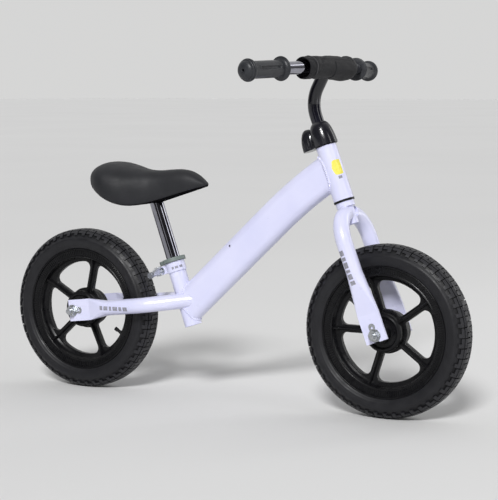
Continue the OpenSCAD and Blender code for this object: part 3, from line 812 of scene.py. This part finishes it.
def bar_axes(t):
    """Axes at t along the bar from its middle, towards the right: x forwards, y up, z along the bar."""
    side = 1 if t >= 0 else -1
    t = abs(t)
    bend = min(BAR_SWEEP, max(0.0, (t - BAR_BEND_Y) / BAR_BEND_R))
    back = BAR_BEND_R * (1 - math.cos(bend))
    out = min(t, BAR_BEND_Y) + BAR_BEND_R * math.sin(bend)
    straight = max(0.0, t - BAR_BEND_Y - BAR_BEND_R * BAR_SWEEP)
    back += straight * math.sin(bend)
    out += straight * math.cos(bend)
    place = BAR_MIDDLE @ shift(-back, -side * out, 0) @ turn(-side * bend, "Z")
    return place @ Matrix(((1, 0, 0, 0), (0, 0, -1, 0), (0, 1, 0, 0), (0, 0, 0, 1)))


def pad_radius(t, a):
    """The padded cover's radius, with its folds, seams and the flap of its closure."""
    v = t / PAD_HALF
    point = Vector((math.cos(a) * 1.6, math.sin(a) * 1.6, t / (38 * MM)))
    folds = 0.8 * MM * noise.noise(point) + 0.3 * MM * noise.noise(point * 2.6)
    radius = PAD_R - 0.3 * MM + folds
    low = max(0.0, -math.sin(a))
    radius += 2.6 * MM * low**2 * math.exp(-(((v + 0.62) / 0.26) ** 2))
    radius += 1.2 * MM * max(0.0, math.sin(a)) ** 3 * math.exp(-(((v + 0.93) / 0.07) ** 2))
    # The flap: a second layer over the front and the underside, ending in an upright edge.
    flap_along = ease((0.01 - v) / 0.014) * ease((v + 0.87) / 0.014)
    flap_round = ease((math.radians(24) - a) / 0.06) * ease((a + math.radians(118)) / 0.06)
    radius += 1.1 * MM * flap_along * flap_round
    # A slack fold runs along the top of the front.
    crease = (a - mix(math.radians(30), math.radians(48), (v + 1) / 2)) / 0.13
    radius += 0.9 * MM * math.exp(-(crease**2)) * ease((0.85 - abs(v)) / 0.2)
    for seam in (MOUTH_SEAM, FAR_SEAM):
        radius -= 0.9 * MM * math.exp(-(((v - seam) / 0.014) ** 2))
    # Past its seam the mouth is thinner, and hangs open towards the ground.
    lip = ease((v - MOUTH_SEAM) / 0.06)
    radius -= lip * (1.1 * MM - 1.2 * MM * low**2)
    return radius


SETTLE_FRAMES = 20


def settle(mesh, pinned, pressure, slack, limit):
    """Lets a mesh of cloth settle on its padding, and moves no point further than limit."""
    start = [v.co.copy() for v in mesh.vertices]
    cloth_piece = bpy.data.objects.new("settling", mesh)
    bpy.context.scene.collection.objects.link(cloth_piece)
    cloth_piece.vertex_groups.new(name="hem").add(pinned, 1.0, "REPLACE")
    cloth = cloth_piece.modifiers.new("cloth", "CLOTH")
    cloth.settings.quality = 5
    cloth.settings.mass = 0.15
    cloth.settings.tension_stiffness = 20
    cloth.settings.compression_stiffness = 20
    cloth.settings.bending_stiffness = 0.4
    cloth.settings.shrink_min = -slack
    cloth.settings.use_pressure = True
    cloth.settings.uniform_pressure_force = pressure
    cloth.settings.vertex_group_mass = "hem"
    cloth.settings.effector_weights.gravity = 0
    cloth.point_cache.frame_start = 1
    cloth.point_cache.frame_end = SETTLE_FRAMES
    scene = bpy.context.scene
    for number in range(1, SETTLE_FRAMES + 1):
        scene.frame_set(number)
    depsgraph = bpy.context.evaluated_depsgraph_get()
    settled = [v.co.copy() for v in cloth_piece.evaluated_get(depsgraph).data.vertices]
    bpy.data.objects.remove(cloth_piece)
    scene.frame_set(1)
    for v, a, b in zip(mesh.vertices, start, settled):
        move = b - a
        v.co = a + move * min(1.0, limit / max(move.length, 1e-9))


def bar_pad():
    shape = Shape()
    around, along = 108, 160
    angles = [a - math.pi for a in whole_turn(around)]
    rings = []
    for k in range(along + 1):
        t = mix(-PAD_HALF, PAD_HALF, k / along)
        rings.append([bar_axes(t) @ polar(pad_radius(t, a), a, 0) for a in angles])
    shape.loft(rings, cap_start=False, cap_end=False)
    cloth = bpy.data.meshes.new("pad_cloth")
    cloth.from_pydata(shape.verts, [], shape.faces)
    # Both hems and both seams are sewn down.
    rows = [k for k in range(along + 1) if abs(abs(k / along - 0.5) - 0.5) < 0.012]
    rows += [round(along * (seam + 1) / 2) for seam in (MOUTH_SEAM, FAR_SEAM)]
    pinned = [k * around + i for k in rows for i in range(around)]
    settle(cloth, pinned, pressure=2.0, slack=0.02, limit=1.0 * MM)
    shape.verts = [v.co.copy() for v in cloth.vertices]
    bpy.data.meshes.remove(cloth)
    # The cloth turns in at each mouth and ends against the bar.
    for end in (-1, 1):
        mouth = []
        for depth, share in ((0, 1.0), (0.6, 0.985), (0.9, 0.95), (-0.5, 0.90), (-6, 0.87), (-12, 0.60)):
            place = bar_axes(end * (PAD_HALF + depth * MM))
            radii = [max(pad_radius(end * PAD_HALF, a) * share, BAR_R + 0.15 * MM) for a in angles]
            mouth.append([place @ polar(radius, a, 0) for radius, a in zip(radii, angles)])
        shape.loft(mouth, cap_start=False, cap_end=False)
    piece = shape.make("bar_pad_cover", FINISHES["pad_fabric"], "handlebar", sharp=60)
    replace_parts(piece, "bar_pad")
    # Piping: a thin cord in each seam.
    for name, seam in (("pad_piping_right", MOUTH_SEAM), ("pad_piping_left", FAR_SEAM)):
        cord = Shape()
        rings = []
        t = seam * PAD_HALF
        for a in (a - math.pi for a in whole_turn(120)):
            reach = pad_radius(t, a) + 0.8 * MM
            rings.append([bar_axes(t + PIPING_R * math.sin(b)) @ polar(reach + PIPING_R * math.cos(b), a, 0)
                          for b in whole_turn(8)])
        cord.loft(rings, round_path=True)
        cord.make(name, CORD, "handlebar", sharp=80)


bar_pad()

# ---- Saddle ----

# Along the saddle: x, half width, top and lower edge, in millimetres.
SADDLE = [
    (-283, 0.5, 395, 391), (-281, 18, 403, 389), (-275, 35, 412, 386), (-262, 54, 422, 381.5),
    (-248, 65, 427.3, 374), (-238, 69.3, 427.6, 368.3), (-228, 71, 426.8, 363),
    (-212, 69.4, 423.6, 357), (-200, 65.6, 420.6, 353.8), (-187, 57.5, 417.6, 352),
    (-175, 48.5, 415.4, 352.6), (-162, 40, 414, 354.5), (-150, 34.2, 413.7, 357.8),
    (-136, 30.2, 414.3, 361.8), (-125, 28.2, 415.4, 365.2), (-110, 26.6, 416.6, 369.8),
    (-97, 24.8, 416.8, 373.8), (-80, 22, 414.2, 379), (-65, 17.8, 407.4, 383.5),
    (-54, 12.2, 399.6, 386.6), (-47, 7, 393.9, 388.6), (-44, 0.5, 391.2, 390),
]


def along_table(table, x):
    """The table's row at x, on a smooth curve through its rows."""
    last = len(table) - 1
    k = 0
    while k < last - 1 and table[k + 1][0] < x:
        k += 1
    a, b = table[k], table[k + 1]
    before, after = table[max(k - 1, 0)], table[min(k + 2, last)]
    t = (x - a[0]) / (b[0] - a[0])
    row = []
    for c in range(1, len(a)):
        rise_a = (b[c] - before[c]) / (b[0] - before[0]) * (b[0] - a[0])
        rise_b = (after[c] - a[c]) / (after[0] - a[0]) * (b[0] - a[0])
        row.append((2 * t**3 - 3 * t**2 + 1) * a[c] + (t**3 - 2 * t**2 + t) * rise_a
                   + (3 * t**2 - 2 * t**3) * b[c] + (t**3 - t**2) * rise_b)
    return row


def saddle():
    """A crowned cover whose sides tuck in under their widest line, closed underneath."""
    shape = Shape()
    rings = []
    steps = 110
    for k in range(steps + 1):
        x = mix(SADDLE[0][0], SADDLE[-1][0], 0.5 - 0.5 * math.cos(math.pi * k / steps))
        half, top, low = along_table(SADDLE, x)
        half = max(half, 0.4)
        middle = mix(low, top, 0.36)
        side = []
        for i in range(15):
            a = math.pi / 2 * i / 14
            side.append((half * math.sin(a) ** 0.86, middle + (top - middle) * math.cos(a) ** 0.80))
        for i in range(1, 9):
            a = math.pi / 2 * i / 8
            side.append((half * (1 - 0.12 * (1 - math.cos(a))), middle - (middle - low) * math.sin(a)))
        under = low + min(2.5, (top - low) * 0.2)
        side += [(half * 0.84, low + 0.3), (half * 0.80, under), (half * 0.45, under), (0, under)]
        ring = [(y, z) for y, z in side] + [(-y, z) for y, z in side[-2:0:-1]]
        rings.append([Vector((x, y, z)) * MM for y, z in ring])
    shape.loft(rings)
    piece = shape.make("saddle_cover", FINISHES["saddle_vinyl"], "saddle", sharp=50)
    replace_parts(piece, "saddle_cushion")


def saddle_pan():
    """The dark underside, set in from the cover's edge."""
    pan = Shape()
    rings = []
    for k in range(61):
        x = mix(-276, -46.5, 0.5 - 0.5 * math.cos(math.pi * k / 60))
        half, top, low = along_table(SADDLE, x)
        half = max(half * 0.86 - 0.5, 0.8)
        high = low + min(6, (top - low) * 0.4)
        outline = [(half - 1, low - 1.6), (half, low - 0.6), (half, high), (half - 1, high + 0.5)]
        ring = outline + [(-y, z) for y, z in outline[::-1]]
        rings.append([Vector((x, y, z)) * MM for y, z in ring])
    pan.loft(rings)
    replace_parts(pan.make("saddle_pan", PAN, "saddle"), "saddle_base")


saddle()
saddle_pan()

# ---- Stem cover ----

COVER_R = 22 * MM
COVER_HEIGHT = 43 * MM
COVER_HOLE_R = 12.0 * MM
LOBE_HEIGHT = 38 * MM


def stem_cover():
    """A glossy dome round the stem, with a ribbed lobe over the clamp's bolts."""
    shape = Shape()
    low = min((STEERING.inverted() @ v.co).z for v in NODES["stem_clamp_cover"].data.vertices)
    profile = [(COVER_R, low)]
    for i in range(25):
        a = math.pi / 2 * i / 24
        radius = COVER_R * math.cos(a) ** 0.50
        if radius > COVER_HOLE_R + 0.2 * MM:
            profile.append((radius, low + COVER_HEIGHT * math.sin(a) ** 0.95))
    profile += [(COVER_HOLE_R, low + 41.4 * MM), (COVER_HOLE_R, low + 39.4 * MM)]
    profile += [(20.2 * MM, low + 25 * MM), (20.4 * MM, low)]
    shape.lathe(STEERING, profile, 96)
    rings = []
    for k in range(31):
        t = k / 30
        share = (1 - t**2.6) ** (1 / 2.2) if t < 1 else 0.0
        ring = []
        for a in whole_turn(120):
            ribs = 0.55 * MM * (0.5 + 0.5 * math.cos(17 * a))
            ribs *= (1 - ease((t - 0.35) / 0.3)) * ease(t / 0.06)
            reach = 10.5 * MM - ribs
            wide = 4 * MM if math.sin(a) > 0 else -4 * MM
            x = mix(-31, -27, t * t) * MM + share * reach * math.cos(a) * (1 if math.cos(a) < 0 else 1.8)
            y = share * (reach * math.sin(a) + wide)
            ring.append(STEERING @ Vector((x, y, low + LOBE_HEIGHT * t)))
        rings.append(ring)
    shape.loft(rings)
    piece = shape.make("stem_cover_shell", FINISHES["gloss_cover"], "fork", sharp=50)
    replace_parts(piece, "stem_clamp_cover")
    return piece


stem_cover()

# ---- Lever knob, skewer collar and fork crown ----


def lever_knob():
    """The dull round end of the quick-release lever."""
    pivot = Vector(JOINTS["lever_throw"]["pos_m"])
    place = shift(*pivot) @ turn(-SEAT_TILT, "Y") @ shift(0, -28 * MM, -4 * MM) @ turn(math.pi / 2, "X")
    shape = Shape()
    profile = [(0.0, -1.2), (4.9, -1.2), (5.7, -0.5), (5.7, 4.6),
               (5.3, 5.5), (4.4, 5.9), (4.0, 5.5), (0.0, 5.5)]
    shape.loft([[place @ polar(r, a, z) for a in whole_turn(48)] for r, z in in_mm(profile)])
    shape.make("lever_knob", KNOB, "release_lever", sharp=40)


lever_knob()

SKEWER = (-25 * MM, 0, 112 * MM)


def skewer_collar():
    """The bright eye on the skewer that the lever's cam turns round."""
    place = SEAT @ shift(*SKEWER) @ turn(math.pi / 2, "X")
    shape = Shape()
    profile = [(3.05, 14.3), (3.6, 14.3), (3.9, 14.8), (3.9, 22.8), (3.5, 23.3), (3.05, 23.3)]
    shape.lathe(place, in_mm(profile), 40)
    shape.make("skewer_collar", SATIN, "frame", sharp=40)


skewer_collar()

# A fork leg's bend under the crown: its radius, its centre and the leg's own radius.
CROWN_BEND_R = 48 * MM
CROWN_BEND_Y = 3 * MM
CROWN_BEND_Z = 165 * MM
LEG_R = 12.1 * MM


def crown_filler(name, side):
    """Closes the open top of a fork leg where it meets the crown."""
    shape = Shape()
    rings = []
    for k in range(13):
        a = math.radians(mix(20, 80, k / 12))
        ring = []
        for b in whole_turn(40):
            reach = CROWN_BEND_R + LEG_R * math.cos(b)
            out = -side * (CROWN_BEND_Y + reach * math.cos(a))
            ring.append(STEERING @ Vector((LEG_R * math.sin(b), out, CROWN_BEND_Z + reach * math.sin(a))))
        rings.append(ring)
    shape.loft(rings)
    shape.make(name, FINISHES["frame_paint"], "fork")


crown_filler("right_crown_filler", 1)
crown_filler("left_crown_filler", -1)

# ---- Weld beads, badge and printed marks ----


def seam_points(node, place, radius, side):
    """Where a tube's outer wall meets the round tube it is cut against, on that tube's front or back."""
    inverse = place.inverted()
    flat = []
    for v in NODES[node].data.vertices:
        p = inverse @ v.co
        if abs(math.hypot(p.x, p.y) - radius) < 0.12 * MM and p.x * side > 0:
            flat.append(Vector((math.atan2(p.y, side * p.x) * radius, p.z)))
    middle = sum(flat, Vector((0, 0))) / len(flat)
    farthest = {}
    for p in flat:
        d = p - middle
        key = int((math.atan2(d.y, d.x) + math.pi) / (2 * math.pi) * 36)
        if key not in farthest or d.length > farthest[key].length:
            farthest[key] = d
    points = []
    for k in sorted(farthest):
        p = middle + farthest[k]
        around = p.x / radius
        points.append(place @ Vector((side * radius * math.cos(around), radius * math.sin(around), p.y)))
    return points


BEAD_STEP = 0.5 * MM
BEAD_WAVE = 3.4 * MM


def bead(name, points, radius, body):
    """A wavy weld bead along a closed line of points."""
    shape = Shape()
    lengths = [0.0]
    for a, b in zip(points, points[1:] + points[:1]):
        lengths.append(lengths[-1] + (b - a).length)
    total = lengths[-1]
    count = int(total / BEAD_STEP)
    path = []
    k = 0
    for i in range(count):
        at = total * i / count
        while lengths[k + 1] < at:
            k += 1
        t = (at - lengths[k]) / (lengths[k + 1] - lengths[k])
        path.append(points[k].lerp(points[(k + 1) % len(points)], t))
    for _ in range(6):
        path = [(path[i - 1] + path[i] * 2 + path[(i + 1) % count]) / 4 for i in range(count)]
    rings = []
    for i in range(count):
        along = (path[(i + 1) % count] - path[i - 1]).normalized()
        across = along.cross(Vector((0.3, 0.9, 0.1))).normalized()
        other = along.cross(across)
        wave = 1 + 0.26 * math.sin(2 * math.pi * i * total / count / BEAD_WAVE)
        wave += 0.15 * noise.noise(path[i] * 200)
        rings.append([path[i] + radius * wave * (across * math.cos(a) + other * math.sin(a))
                      for a in whole_turn(10)])
    shape.loft(rings, round_path=True)
    return shape.make(name, FINISHES["frame_paint"], body, sharp=70)


def outer_radius(node, place):
    inverse = place.inverted()
    return max(math.hypot(p.x, p.y) for p in (inverse @ v.co for v in NODES[node].data.vertices))


HEAD_R = outer_radius("head_tube", STEERING)
SEAT_R = outer_radius("seat_tube", SEAT)
bead("head_weld", seam_points("main_tube", STEERING, HEAD_R, -1), 2.6 * MM, "frame")
bead("seat_weld", seam_points("main_tube", SEAT, SEAT_R, 1), 2.2 * MM, "frame")


PRINT_LIFT = 0.18 * MM


def printed(name, material, body, node, marks):
    """Thin patches laid on a part's right side. Each mark is a list of (low, high) corner pairs (x, z)."""
    mesh = NODES[node].data
    tree = BVHTree.FromPolygons([v.co for v in mesh.vertices], [list(p.vertices) for p in mesh.polygons])
    shape = Shape()
    for mark in marks:
        rows = []
        for (low, high), (next_low, next_high) in zip(mark, mark[1:]):
            for i in range(5):
                a = Vector(low).lerp(Vector(next_low), i / 4)
                b = Vector(high).lerp(Vector(next_high), i / 4)
                rows.append([a.lerp(b, j / 5) for j in range(6)])
        lifted = []
        for row in rows:
            points = []
            for p in row:
                hit, normal, _, _ = tree.ray_cast(Vector((p.x * MM, -0.4, p.y * MM)), Vector((0, 1, 0)))
                if hit is None:
                    continue
                points.append(hit - Vector((0, PRINT_LIFT, 0)) if normal.y < 0 else hit)
            if len(points) == 6:
                lifted.append(points)
        if len(lifted) > 1:
            shape.loft(lifted, round_ring=False, cap_start=False, cap_end=False)
    return shape.make(name, material, body, sharp=60)


def bars(start, direction, size, gaps):
    """Plain upright dashes along a line: gaps gives each dash's place and width."""
    d = Vector(direction).normalized()
    up = Vector((-d.y, d.x)) * size / 2
    made = []
    for place, width in gaps:
        a = Vector(start) + d * place
        b = a + d * width
        made.append([(a - up, a + up), (b - up, b + up)])
    return made


def badge_outline(middle, half_width, half_height):
    """A rounded patch that stands along the head tube, as columns from its back to its front."""
    up = Vector((-math.sin(HEAD_TILT), math.cos(HEAD_TILT)))
    forward = Vector((math.cos(HEAD_TILT), math.sin(HEAD_TILT)))
    columns = []
    for k in range(7):
        v = -1 + k / 3
        rise = half_height * math.sqrt(max(0.0, 1 - abs(v) ** 3)) + 0.8
        at = Vector(middle) + forward * (v * half_width)
        columns.append((at - up * rise, at + up * rise))
    return columns


# Places on the bike's right side, as (x, z) in millimetres.
printed("head_badge", YELLOW, "frame", "head_tube", [badge_outline((219.5, 429), 8.2, 12.5)])
printed("leg_marks", PRINT, "fork", "right_fork_leg",
        bars((251, 290.5), (27, -63.4), 9, [(0, 9), (12, 6), (21, 10), (34, 5), (42, 9), (54, 7)]))
printed("badge_marks", PRINT, "frame", "head_tube",
        bars((223.5, 411.5), (14, 5.2), 5, [(0, 4.5), (7, 5)]))
printed("stay_marks", PRINT, "frame", "right_chain_stay",
        bars((-243, 160.5), (66, 1.6), 7.5, [(0, 7), (10, 9), (22, 5), (30, 10), (43, 6), (52, 9)]))
printed("clamp_marks", PRINT, "frame", "seat_clamp",
        bars((-111, 236.5), (24, 8.6), 4.5, [(0, 4), (6, 5), (13, 3.5), (18.5, 4)]))

# ---- Floor, light and camera ----

FLOOR = 0.735
FLOOR_HALF = 40.0


def floor():
    mesh = bpy.data.meshes.new("floor")
    corners = [(x * FLOOR_HALF, y * FLOOR_HALF, 0) for x, y in ((-1, -1), (1, -1), (1, 1), (-1, 1))]
    mesh.from_pydata(corners, [], [(0, 1, 2, 3)])
    plane = bpy.data.objects.new("floor", mesh)
    bpy.context.scene.collection.objects.link(plane)
    f = Finish("floor_pale", (FLOOR, FLOOR, FLOOR), 0.8, Specular_IOR_Level=0.0)
    f.colour_by(f.noise(0.6, 2), 0.3, 0.7, (FLOOR - 0.01,) * 3, (FLOOR + 0.01,) * 3)
    mesh.materials.append(f.material)


def sun_light(name, place, strength, width):
    """A sun that shines from place towards the origin, width degrees wide."""
    data = bpy.data.lights.new(name, "SUN")
    data.energy = strength
    data.angle = math.radians(width)
    light = bpy.data.objects.new(name, data)
    bpy.context.scene.collection.objects.link(light)
    light.rotation_euler = Vector(place).to_track_quat("Z", "Y").to_euler()


STRIP_HEIGHT = 2.0
LIT_POINT = (0, 0, 0.4)


def strip_light(name, place, width, power):
    """A tall soft strip that faces the bike, for the bright lines on gloss and chrome."""
    data = bpy.data.lights.new(name, "AREA")
    data.energy = power
    data.shape = "RECTANGLE"
    data.size = width
    data.size_y = STRIP_HEIGHT
    light = bpy.data.objects.new(name, data)
    bpy.context.scene.collection.objects.link(light)
    light.location = place
    light.rotation_euler = (Vector(LIT_POINT) - Vector(place)).to_track_quat("-Z", "Y").to_euler()


# How bright the room is behind the camera and in front of it.
DIM = 0.04
BRIGHT = 0.67


def world():
    """A pale backdrop in front of the camera, with a dimmer room behind it."""
    made = bpy.data.worlds.new("studio")
    made.use_nodes = True
    tree = made.node_tree
    background = tree.nodes["Background"]
    background.inputs["Color"].default_value = (1.0, 1.0, 0.995, 1)
    coords = tree.nodes.new("ShaderNodeTexCoord")
    towards = tree.nodes.new("ShaderNodeVectorMath")
    towards.operation = "DOT_PRODUCT"
    towards.inputs[1].default_value = (-0.5, 0.87, 0.6)
    fade = tree.nodes.new("ShaderNodeMapRange")
    fade.interpolation_type = "SMOOTHSTEP"
    fade.inputs["From Min"].default_value = 0.1
    fade.inputs["From Max"].default_value = 0.85
    fade.inputs["To Min"].default_value = DIM
    fade.inputs["To Max"].default_value = BRIGHT
    tree.links.new(coords.outputs["Generated"], towards.inputs[0])
    tree.links.new(towards.outputs["Value"], fade.inputs["Value"])
    tree.links.new(fade.outputs["Result"], background.inputs["Strength"])
    bpy.context.scene.world = made


def camera():
    data = bpy.data.cameras.new("camera")
    data.lens = 114.26
    data.sensor_width = 36
    data.shift_x = 0.0040
    data.shift_y = 0.0005
    data.clip_end = 50
    view = bpy.data.objects.new("camera", data)
    bpy.context.scene.collection.objects.link(view)
    view.location = (1.4018, -2.4593, 0.5777)
    down, roll, heading = 6.13, 0.2, 29.03
    view.rotation_euler = (math.radians(90 - down), math.radians(roll), math.radians(heading))
    bpy.context.scene.camera = view


floor()
sun_light("key", (0.30, -0.95, 0.72), 2.8, 14)
strip_light("strip_front", (2.3, -0.36, 0.95), 0.36, 7)
strip_light("strip_far", (1.5, 1.8, 0.95), 0.36, 7)
strip_light("strip_near", (0.55, -2.9, 1.0), 0.30, 1.5)
world()
camera()
bpy.context.scene.view_settings.view_transform = "Standard"
